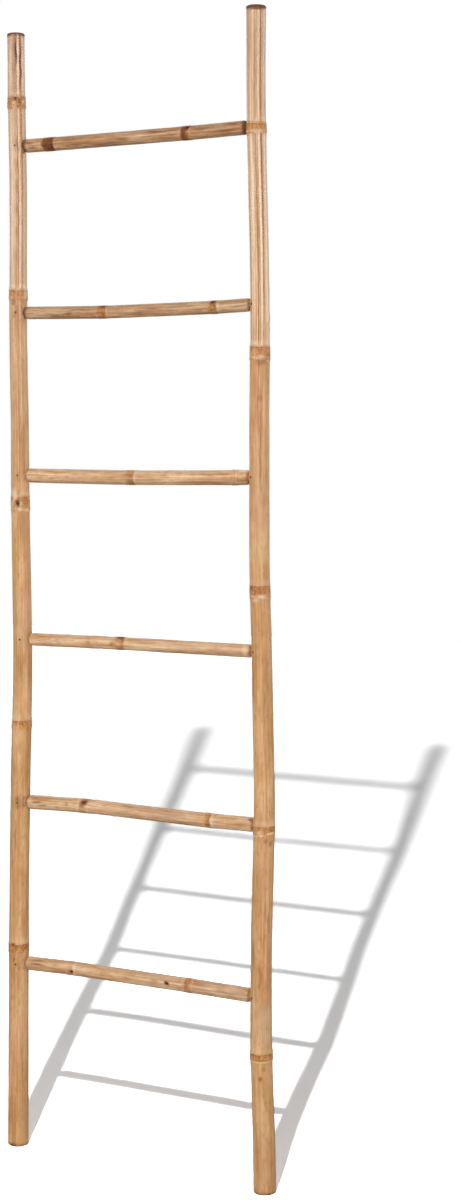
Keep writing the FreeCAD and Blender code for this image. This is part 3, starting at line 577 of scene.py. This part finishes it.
def make_pole(name, material):
    """A pole on its bent axis, open at both ends down to the first node's wall."""
    pole = POLES[name]
    seed, facing = pole["seed"], pole["facing"]
    foot, top = 0.0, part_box(name)[1].z
    places = [node[0] - node[1] * MM / 2 for node in pole["nodes"]]
    foot_radius, top_radius = pole["girth"][0][1], pole["girth"][-1][1]
    foot_bore = 1 - POLE_WALL / foot_radius
    top_bore = 1 - POLE_WALL / top_radius
    foot_rim = 1 - POLE_CHAMFER / foot_radius
    top_rim = 1 - POLE_CHAMFER / top_radius
    outline = (
        (0, places[0]), (foot_bore, places[0]), (foot_bore, foot), (foot_rim, foot),
        (1, foot + POLE_CHAMFER), (1, top - POLE_CHAMFER),
        (top_rim, top), (top_bore, top), (top_bore, places[-1]), (0, places[-1]),
    )
    mesh = spun_culm(name, outline, POLE_SKIN_EDGE, places, POLE_STEPS)

    points, share, turn = read_points(mesh)
    along = points[:, 2]
    skin = Skin(along, turn, seed)
    for scar, length, line, band, bloom_and_sheen, ridge, slant in pole["nodes"]:
        strengths = (line, band, bloom_and_sheen, ridge)
        skin.add_node(scar, 1, length * MM, strengths, slant=slant * MM * np.sin(turn - facing))
    skin.add_marks(pole["marks"], lambda across: facing + math.asin(across), MARK_GIRTH)
    radius = eased(pole["girth"], along, GIRTH_EASE) + POLE_RIPPLE * ripple(along, turn, seed, POLE_WAVE)
    radius = radius * (1 + POLE_OVAL * np.cos(2 * turn + seed)) + skin.swell
    points[:, 0] = eased(pole["bends"], along, BEND_EASE) + share * radius * np.cos(turn)
    points[:, 1] = share * radius * np.sin(turn)
    mesh.vertices.foreach_set("co", points.ravel())

    skin.paint(mesh, FIBRE_GIRTH)
    front, edge = pole["top_stain"]
    toward = np.clip(np.cos(turn - facing), 0, 1)
    top_depth = (edge + (front - edge) * toward + TOP_UNEVEN * round_ripple(turn, seed)) * MM
    foot_depth = pole["foot_dark_band"] + FOOT_UNEVEN * MM * round_ripple(turn, seed + 1)
    stain_and_shade = step_up(top_depth - (top - along), POLE_STAIN_EDGE)
    stain_and_shade = stain_and_shade + FOOT_DARKNESS * step_up(foot_depth - along, POLE_STAIN_EDGE)
    paint(mesh, "stain_and_shade", stain_and_shade)
    paint(mesh, "cut", (share < POLE_SKIN_SHARE).astype(float))
    gloss = on_line(pole["gloss"], along) * skin.shine * (share > POLE_SKIN_SHARE)
    gloss *= np.clip(1 - stain_and_shade, 0, 1) * np.clip(DULL_MARK - skin.layers["mark"], 0, 1)
    paint(mesh, "gloss", gloss)
    age_ripple = POLE_AGE_RIPPLE * ripple(along, turn, seed + 2, POLE_AGE_WAVE)
    paint(mesh, "age", on_line(pole["age"], along) + age_ripple)
    finish_culm(mesh, name, material)


def make_rung(name, material):
    """A rung between the poles, with its rounded shoulders and the tenons inside the poles."""
    rung = RUNGS[name]
    height, girth = rung["height"], rung["radius"]
    low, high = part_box(name)
    start = low.x + TENON_REACH
    length = high.x - TENON_REACH - start
    seed = height * 9
    left_neck = on_line(POLES["left_pole"]["girth"], height) + NECK_GAP
    right_neck = length - on_line(POLES["right_pole"]["girth"], height) - NECK_GAP
    tenon = TENON_RADIUS / girth
    shoulder = [(share, tenon + step * (1 - tenon)) for share, step in SHOULDER_SHARES]
    outline = [(0, -TENON_REACH), (tenon, -TENON_REACH)]
    outline += [(radius, left_neck + share * SHOULDER_LENGTH) for share, radius in shoulder]
    outline += [(radius, right_neck - share * SHOULDER_LENGTH) for share, radius in reversed(shoulder)]
    outline += [(tenon, length + TENON_REACH), (0, length + TENON_REACH)]
    places = [node[0] - start for node in rung["nodes"]]
    mesh = spun_culm(name, outline, RUNG_SKIN_EDGE, places, RUNG_STEPS)

    points, share, turn = read_points(mesh)
    along = start + points[:, 2]
    skin = Skin(along, turn, seed)
    axis = [(start, 0.0)]
    for middle, rise, band_length, side, line, band, bloom_and_sheen in rung["nodes"]:
        axis.append((middle, rise * MM))
        scar = middle + side * band_length * MM / 2
        skin.add_node(scar, side, band_length * MM, (line, band, bloom_and_sheen, RUNG_RIDGE), RUNG_NODE_SCALE)
    axis.append((start + length, 0.0))
    front = 1.5 * math.pi - math.atan2(CAMERA_PLACE[2] - height, CAMERA_DISTANCE)
    skin.add_marks(rung["marks"], lambda across: front - math.asin(across), girth)
    radius = girth + RUNG_RIPPLE * ripple(along, turn, seed, RUNG_WAVE) + skin.swell
    points[:, 0] = along
    points[:, 1] = share * radius * np.sin(turn)
    points[:, 2] = height + eased(axis, along, BEND_EASE) - share * radius * np.cos(turn)
    mesh.vertices.foreach_set("co", points.ravel())

    skin.paint(mesh, girth)
    # The ends darken next to the poles: partly a stain, partly painted shade where the rung meets the
    # pole.
    stain_and_shade = np.zeros(len(along))
    gaps = (along - start - left_neck, start + right_neck - along)
    for gap, (reach, dark) in zip(gaps, rung["ends"]):
        stain_and_shade += dark * step_up(reach * MM - gap, RUNG_STAIN_AND_SHADE_EDGE)
    paint(mesh, "stain_and_shade", np.clip(stain_and_shade, 0, 1))
    paint(mesh, "cut", (share < tenon + TENON_CUT * (1 - tenon)).astype(float))
    gloss = RUNG_GLOSS * skin.shine * (share > RUNG_SKIN_SHARE)
    paint(mesh, "gloss", gloss * np.clip(1 - stain_and_shade, 0, 1))
    paint(mesh, "age", rung["age"] + RUNG_AGE_RIPPLE * ripple(along, turn, seed + 2, RUNG_AGE_WAVE))
    finish_culm(mesh, name, material)


# Materials.

# Noise on the skin: marks for each metre across and along the fibres, and how finely it is broken up.
GRAINS = {
    "streaks": (260, 7, 3.0),
    "fibres": (1100, 30, 2.0),
    "blotches": (90, 16, 3.0),
    "clouds": (28, 7, 2.0),
    "dashes": (420, 13, 3.0),
    "mottle": (190, 65, 4.0),
    "lumps": (330, 240, 3.0),
    "flecks": (520, 120, 2.0),
    "hue": (45, 3.5, 2.0),
    "lines_and_glints": (480, 2.5, 2.0),
}
GRAIN_ROUGHNESS = 0.55
# The skin's tone is a sum of these shares, and runs from the dark to the pale colour.
TONE_SHARES = {"streaks": 0.32, "blotches": 0.3, "clouds": 0.26, "fibres": 0.12}
DARK_TONE, MIDDLE_TONE, PALE_TONE = 0.41, 0.5, 0.59
# Colours of the skin, and how much of the dash, olive and rosy colours there is.
POLE_LOOK = {
    "dark": srgb(180, 128, 78),
    "middle": srgb(200, 152, 102),
    "pale": srgb(216, 174, 126),
    "dash": srgb(158, 102, 56),
    "dash_share": 0.55,
    "olive_share": 0.25,
    "rosy_share": 0.25,
}
RUNG_LOOK = {
    "dark": srgb(170, 118, 76),
    "middle": srgb(206, 162, 118),
    "pale": srgb(228, 194, 156),
    "dash": srgb(142, 84, 50),
    "dash_share": 0.7,
    "olive_share": 0.12,
    "rosy_share": 0.1,
}
OLIVE = srgb(186, 146, 84)
ROSY = srgb(202, 152, 114)
# Fine lines where the varnish shines, partly painted reflection: pale glints and dark lines between them.
DARK_LINE = srgb(150, 106, 60)
PALE_LINE_AND_GLINT = srgb(238, 214, 174)
# The skin's colour is multiplied by this where it is old.
AGED = (0.62, 0.57, 0.55, 1)
# Pale colour of the nodes' bloom and of pale marks; some pale marks high on the poles are painted
# reflection.
BLOOM_AND_SHEEN = srgb(230, 208, 180)
DARK_BAND = srgb(150, 92, 44)
PALE_BAND = srgb(190, 132, 70)
DEEP_BAND = srgb(76, 36, 20)
RIDGE = srgb(228, 192, 142)
SCAR = srgb(108, 62, 34)
MARK = srgb(108, 56, 26)
PIT = srgb(46, 22, 8)
DARK_PITH = srgb(150, 104, 64)
PALE_PITH = srgb(196, 152, 104)
# Dark ends: stains, and painted shade where the rungs meet the poles.
STAIN_AND_SHADE = srgb(92, 54, 34)
# Shares of the painted layers at their full strength.
BLOOM_AND_SHEEN_SHARE = 0.55
DEEP_SHARE = 0.8
SCAR_SHARE = 0.75
STAIN_AND_SHADE_SHARE = 0.92
# Where a mark is darker than this it turns into a pit, and this many times as fast.
PIT_START, PIT_GAIN = 0.9, 1.6
# Roughness of the skin, what its fibres add, and what worn places add.
SKIN_ROUGH, FIBRE_ROUGH, WORN_ROUGH = 0.36, 0.12, 0.3
BUMP_STRENGTH, BUMP_DEPTH = 0.3, 0.06 * MM
DASH_DEPTH = -0.5
SKIN_FINISH = {
    "Specular IOR Level": 0.25,
    "Sheen Weight": 0.2,
    "Sheen Tint": srgb(255, 242, 228),
    "Sheen Roughness": 0.3,
    "Coat Roughness": 0.12,
}
DARK_STEEL = srgb(74, 46, 34)
RUST = srgb(120, 66, 38)
RUST_SCALE = 900.0
STEEL_ROUGH, RUST_ROUGH = 0.45, 0.4
STEEL_METALLIC = 0.35


def add_node(tree, kind, inputs, **settings):
    """A shader node with its settings, and with each input a value or a link."""
    node = tree.nodes.new(kind)
    for setting, value in settings.items():
        setattr(node, setting, value)
    for socket, value in inputs.items():
        if isinstance(value, bpy.types.NodeSocket):
            tree.links.new(value, node.inputs[socket])
        else:
            node.inputs[socket].default_value = value
    return node


def painted(tree, name, output="Fac"):
    """The values painted on a mesh under a name."""
    return add_node(tree, "ShaderNodeAttribute", {}, attribute_name=name).outputs[output]


def arithmetic(tree, operation, first, second, clamp=False):
    """The result of one operation on two values."""
    inputs = {0: first, 1: second}
    return add_node(tree, "ShaderNodeMath", inputs, operation=operation, use_clamp=clamp).outputs[0]


def mixed(tree, factor, first, second, blend="MIX"):
    """Two colours mixed by a factor."""
    inputs = {0: factor, 6: first, 7: second}
    settings = {"data_type": "RGBA", "blend_type": blend, "clamp_factor": True}
    return add_node(tree, "ShaderNodeMix", inputs, **settings).outputs[2]


def laid(tree, mask, share, under, over):
    """One colour laid over another where a mask is, at a share of its strength."""
    return mixed(tree, arithmetic(tree, "MULTIPLY", mask, share), under, over)


def grain(tree, fibre, across, lengthwise, detail):
    """Noise drawn out along the fibres: marks for each metre across and lengthwise."""
    inputs = {0: fibre, 1: (across, across, lengthwise)}
    vector = add_node(tree, "ShaderNodeVectorMath", inputs, operation="MULTIPLY").outputs[0]
    inputs = {"Vector": vector, "Scale": 1.0, "Detail": detail, "Roughness": GRAIN_ROUGHNESS}
    return add_node(tree, "ShaderNodeTexNoise", inputs).outputs["Fac"]


def between(tree, value, low, high):
    """0 below one value and 1 above the other, smoothly."""
    inputs = {"Value": value, "From Min": low, "From Max": high}
    return add_node(tree, "ShaderNodeMapRange", inputs, interpolation_type="SMOOTHSTEP").outputs["Result"]


def window(tree, value, start, full, last, end):
    """1 from one value to another, and 0 before the start and after the end, smoothly."""
    rising = between(tree, value, start, full)
    return arithmetic(tree, "MULTIPLY", rising, between(tree, value, end, last))


def weighted(tree, shares):
    """Sum of values, each with its weight."""
    total = None
    for value, weight in shares:
        part = arithmetic(tree, "MULTIPLY", value, weight)
        total = part if total is None else arithmetic(tree, "ADD", total, part)
    return total


def new_material(name):
    """A material with its tree of nodes."""
    material = bpy.data.materials.new(name)
    material.use_nodes = True
    return material, material.node_tree


def skin_colour(tree, grains, gloss, look):
    """Colour of the plain skin: long fibres, brown dashes, olive and rosy parts, and fine lines where the
    varnish shines, partly painted reflection.
    """
    tone = weighted(tree, [(grains[name], share) for name, share in TONE_SHARES.items()])
    ramp = add_node(tree, "ShaderNodeValToRGB", {"Fac": tone})
    ramp.color_ramp.elements[0].position = DARK_TONE
    ramp.color_ramp.elements[0].color = look["dark"]
    ramp.color_ramp.elements[1].position = PALE_TONE
    ramp.color_ramp.elements[1].color = look["pale"]
    ramp.color_ramp.elements.new(MIDDLE_TONE).color = look["middle"]
    colour = ramp.outputs["Color"]
    # Each row: the noise, the values where the colour starts and is full, its share, the colour.
    for name, start, full, share, over in (
        ("dashes", 0.54, 0.74, look["dash_share"], look["dash"]),
        ("mottle", 0.48, 0.74, 0.42, look["dash"]),
        ("flecks", 0.58, 0.72, 0.45, look["dash"]),
        ("hue", 0.5, 0.66, look["olive_share"], OLIVE),
        ("hue", 0.52, 0.38, look["rosy_share"], ROSY),
    ):
        colour = laid(tree, between(tree, grains[name], start, full), share, colour, over)
    # Fine lines where the varnish shines, partly the skin's own streaks and partly painted reflection.
    for start, full, share, over in ((0.53, 0.66, 0.8, DARK_LINE), (0.47, 0.36, 0.6, PALE_LINE_AND_GLINT)):
        lines_and_glints = arithmetic(tree, "MULTIPLY", between(tree, grains["lines_and_glints"], start, full), gloss)
        colour = laid(tree, lines_and_glints, share, colour, over)
    return mixed(tree, painted(tree, "age"), colour, AGED, "MULTIPLY")


def node_colour(tree, grains, colour):
    """The skin's colour with the bloom, bands, ridges and scars of the nodes."""
    mottle, lumps = grains["mottle"], grains["lumps"]
    colour = laid(tree, painted(tree, "bloom_and_sheen"), BLOOM_AND_SHEEN_SHARE, colour, BLOOM_AND_SHEEN)
    band = painted(tree, "band")
    uneven = arithmetic(tree, "ADD", 0.4, between(tree, mottle, 0.32, 0.66))
    golden = mixed(tree, between(tree, lumps, 0.4, 0.6), DARK_BAND, PALE_BAND)
    colour = laid(tree, band, uneven, colour, golden)
    deep = arithmetic(tree, "SUBTRACT", band, 1.0, clamp=True)
    colour = laid(tree, deep, DEEP_SHARE, colour, DEEP_BAND)
    broken = arithmetic(tree, "ADD", 0.3, between(tree, lumps, 0.42, 0.58))
    colour = laid(tree, painted(tree, "ridge"), broken, colour, RIDGE)
    return laid(tree, painted(tree, "scar"), SCAR_SHARE, colour, SCAR)


def bamboo(name, look):
    """Varnished bamboo: its skin and nodes, with marks, pits, cut ends and stains, and some marks, lines
    and the rungs' dark ends are painted shade and painted reflection.
    """
    material, tree = new_material(name)
    shader = tree.nodes["Principled BSDF"]
    fibre = painted(tree, "fibre", "Vector")
    grains = {kind: grain(tree, fibre, *scales) for kind, scales in GRAINS.items()}
    fibres = grains["fibres"]
    gloss = painted(tree, "gloss")
    colour = skin_colour(tree, grains, gloss, look)
    colour = node_colour(tree, grains, colour)

    mark = painted(tree, "mark")
    colour = laid(tree, mark, between(tree, fibres, 0.1, 0.6), colour, MARK)
    pit = arithmetic(tree, "SUBTRACT", mark, PIT_START, clamp=True)
    pit = arithmetic(tree, "MULTIPLY", pit, PIT_GAIN, clamp=True)
    colour = mixed(tree, pit, colour, PIT)
    cut = painted(tree, "cut")
    pith = mixed(tree, between(tree, fibres, 0.4, 0.6), DARK_PITH, PALE_PITH)
    colour = mixed(tree, cut, colour, pith)
    # The stains at the ends, with painted shade where the rungs meet the poles.
    stain_and_shade = arithmetic(tree, "MULTIPLY", painted(tree, "stain_and_shade"), STAIN_AND_SHADE_SHARE)
    colour = mixed(tree, stain_and_shade, colour, STAIN_AND_SHADE)

    rough = arithmetic(tree, "ADD", SKIN_ROUGH, arithmetic(tree, "MULTIPLY", fibres, FIBRE_ROUGH))
    worn = arithmetic(tree, "ADD", cut, arithmetic(tree, "ADD", pit, stain_and_shade))
    worn = arithmetic(tree, "MULTIPLY", worn, WORN_ROUGH)
    rough = arithmetic(tree, "ADD", rough, worn, clamp=True)
    height = arithmetic(tree, "MULTIPLY", grains["dashes"], DASH_DEPTH)
    height = arithmetic(tree, "ADD", height, fibres)
    inputs = {"Height": height, "Strength": BUMP_STRENGTH, "Distance": BUMP_DEPTH}
    bump = add_node(tree, "ShaderNodeBump", inputs)
    tree.links.new(colour, shader.inputs["Base Color"])
    tree.links.new(rough, shader.inputs["Roughness"])
    tree.links.new(bump.outputs["Normal"], shader.inputs["Normal"])
    tree.links.new(gloss, shader.inputs["Coat Weight"])
    for socket, value in SKIN_FINISH.items():
        shader.inputs[socket].default_value = value
    return material


def nail_steel():
    """Darkened steel with rust on its heads."""
    material, tree = new_material("nail_steel")
    shader = tree.nodes["Principled BSDF"]
    place = add_node(tree, "ShaderNodeTexCoord", {}).outputs["Object"]
    inputs = {"Vector": place, "Scale": RUST_SCALE, "Detail": 3.0}
    rust = add_node(tree, "ShaderNodeTexNoise", inputs).outputs["Fac"]
    colour = mixed(tree, between(tree, rust, 0.4, 0.62), DARK_STEEL, RUST)
    rough = arithmetic(tree, "ADD", STEEL_ROUGH, arithmetic(tree, "MULTIPLY", rust, RUST_ROUGH))
    tree.links.new(colour, shader.inputs["Base Color"])
    tree.links.new(rough, shader.inputs["Roughness"])
    shader.inputs["Metallic"].default_value = STEEL_METALLIC
    return material


# The studio.

# The lamp that throws the shadow stands above the camera, so the shadow falls to the back.
KEY_PLACE = (1.24, -3.36, 3.36)
KEY_POWER = 100.0
KEY_SHARE = 0.285
KEY_RADIUS = 0.042
# Soft boxes that lift the left, lower, right and back sides of the culms, and show in no reflection:
# name, place, aim, size, cone of the light in degrees, power.
SOFT_BOXES = (
    ("left_box", (-2.4, -2.0, 1.6), (0, 0, 1.1), (1.6, 2.4), 180, 10.0),
    ("low_box", (2.2, -3.2, 0.5), (0, 0, 1.1), (2.4, 0.8), 180, 16.0),
    ("right_box", (3.0, -0.4, 1.2), (0, 0, 1.2), (1.0, 2.2), 40, 1.0),
    ("back_box", (-1.2, 3.0, 1.2), (0, 0, 1.2), (1.2, 2.2), 30, 6.5),
)
# Soft boxes that only reflections show, above the camera's height. Their azimuths are in degrees from
# the front to the right: where a box starts, is full, is last full and ends, then its strength.
MIRRORED_BOXES = ((-95, -55, -8, 4, 4.0), (34, 42, 62, 72, 7.0), (82, 100, 124, 146, 4.0))
# The same four places for the rise of a ray that meets them.
MIRRORED_RISE = (0.02, 0.09, 0.28, 0.42)
# A white wall behind the ladder, and the rest of the room, in reflections.
MIRRORED_WALL = 1.15
MIRRORED_ROOM = 0.25
# The soft light near the horizon, and how much weaker it is overhead.
AMBIENT = 0.46
AMBIENT_FALL = 0.40
# The floor: its reach each way, and its brightness to the camera and in the light it throws back.
# It gets paler toward the back, where the lamp reaches less, so it ends as white as the wall.
FLOOR_REACH = 8
FLOOR_SEEN = 2.85
FLOOR_BOUNCE = 0.75
FLOOR_PALER_FROM = 3.5
FLOOR_PALER_SHARE = 1.5


def grey(value):
    """A grey of one strength."""
    return (value, value, value, 1)


def seen_directly(tree):
    """1 for what the camera sees, directly or through something clear."""
    path = add_node(tree, "ShaderNodeLightPath", {}).outputs
    return arithmetic(tree, "MAXIMUM", path["Is Camera Ray"], path["Is Transmission Ray"])


def make_floor():
    """A white floor that takes the ladder's shadow."""
    bm = bmesh.new()
    bmesh.ops.create_grid(bm, x_segments=1, y_segments=1, size=FLOOR_REACH)
    mesh = bpy.data.meshes.new("floor")
    bm.to_mesh(mesh)
    bm.free()
    material, tree = new_material("white_floor")
    tree.nodes.remove(tree.nodes["Principled BSDF"])
    place = add_node(tree, "ShaderNodeTexCoord", {}).outputs["Object"]
    back = add_node(tree, "ShaderNodeSeparateXYZ", {0: place}).outputs["Y"]
    far = between(tree, back, FLOOR_PALER_FROM, FLOOR_REACH)
    white = mixed(tree, far, grey(FLOOR_SEEN), grey(FLOOR_SEEN * FLOOR_PALER_SHARE))
    shade = mixed(tree, seen_directly(tree), grey(FLOOR_BOUNCE), white)
    diffuse = add_node(tree, "ShaderNodeBsdfDiffuse", {"Color": shade})
    tree.links.new(diffuse.outputs[0], tree.nodes["Material Output"].inputs["Surface"])
    mesh.materials.append(material)
    floor = bpy.data.objects.new("floor", mesh)
    bpy.context.collection.objects.link(floor)


def make_world():
    """White to the camera, a soft light on the culms, and a wall and soft boxes in reflections."""
    world = bpy.data.worlds.new("studio")
    world.use_nodes = True
    bpy.context.scene.world = world
    tree = world.node_tree
    background = tree.nodes["Background"]
    direction = add_node(tree, "ShaderNodeTexCoord", {}).outputs["Generated"]
    x, y, z = add_node(tree, "ShaderNodeSeparateXYZ", {0: direction}).outputs
    azimuth = arithmetic(tree, "ARCTAN2", x, arithmetic(tree, "MULTIPLY", y, -1.0))
    boxes = []
    for *places, power in MIRRORED_BOXES:
        boxes.append((window(tree, azimuth, *[math.radians(place) for place in places]), power))
    lit = arithmetic(tree, "MULTIPLY", weighted(tree, boxes), window(tree, z, *MIRRORED_RISE))
    wall = arithmetic(tree, "MULTIPLY", between(tree, y, -0.1, 0.4), MIRRORED_WALL)
    mirrored = arithmetic(tree, "ADD", arithmetic(tree, "ADD", wall, lit), MIRRORED_ROOM)
    overhead = arithmetic(tree, "MULTIPLY", between(tree, z, 0.08, 0.62), AMBIENT_FALL)
    ambient = arithmetic(tree, "SUBTRACT", AMBIENT, overhead)
    glossy = add_node(tree, "ShaderNodeLightPath", {}).outputs["Is Glossy Ray"]
    strength = add_node(tree, "ShaderNodeMix", {0: glossy, 2: ambient, 3: mirrored}).outputs[0]
    strength = add_node(tree, "ShaderNodeMix", {0: seen_directly(tree), 2: strength, 3: 1.0}).outputs[0]
    background.inputs["Color"].default_value = grey(1)
    tree.links.new(strength, background.inputs["Strength"])


def make_lamps():
    """The lamp that throws the shadow, and the soft boxes round the ladder."""
    key = bpy.data.lights.new("key", "POINT")
    key.energy = KEY_POWER
    key.shadow_soft_size = KEY_RADIUS
    key.use_nodes = True
    tree = key.node_tree
    even = add_node(tree, "ShaderNodeLightFalloff", {"Strength": KEY_SHARE}).outputs["Constant"]
    tree.links.new(even, tree.nodes["Emission"].inputs["Strength"])
    lamp = bpy.data.objects.new("key", key)
    lamp.location = KEY_PLACE
    bpy.context.collection.objects.link(lamp)
    for name, place, target, size, cone, power in SOFT_BOXES:
        light = bpy.data.lights.new(name, "AREA")
        light.shape = "RECTANGLE"
        light.size, light.size_y = size
        light.energy = power
        light.spread = math.radians(cone)
        box = bpy.data.objects.new(name, light)
        box.visible_glossy = False
        box.location = place
        box.rotation_euler = (Vector(target) - Vector(place)).to_track_quat("-Z", "Y").to_euler()
        bpy.context.collection.objects.link(box)


def make_camera():
    """A level camera to the right of the ladder, whose view is shifted down to take in the feet."""
    camera = bpy.data.cameras.new("camera")
    camera.sensor_width = CAMERA_SENSOR
    camera.lens = CAMERA_LENS
    camera.shift_y = CAMERA_SHIFT
    item = bpy.data.objects.new("camera", camera)
    item.location = CAMERA_PLACE
    item.rotation_euler = (math.pi / 2, 0, CAMERA_TURN)
    bpy.context.collection.objects.link(item)
    bpy.context.scene.camera = item


bpy.context.scene.view_settings.view_transform = "Standard"
make_camera()
make_floor()
make_world()
make_lamps()

pole_bamboo = bamboo("pole_bamboo", POLE_LOOK)
rung_bamboo = bamboo("rung_bamboo", RUNG_LOOK)
steel = nail_steel()
for pole_name in POLES:
    make_pole(pole_name, pole_bamboo)
for rung_name in RUNGS:
    make_rung(rung_name, rung_bamboo)
for node_name, node_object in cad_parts.items():
    if node_name.startswith("nail_"):
        node_object.data.materials.clear()
        node_object.data.materials.append(steel)
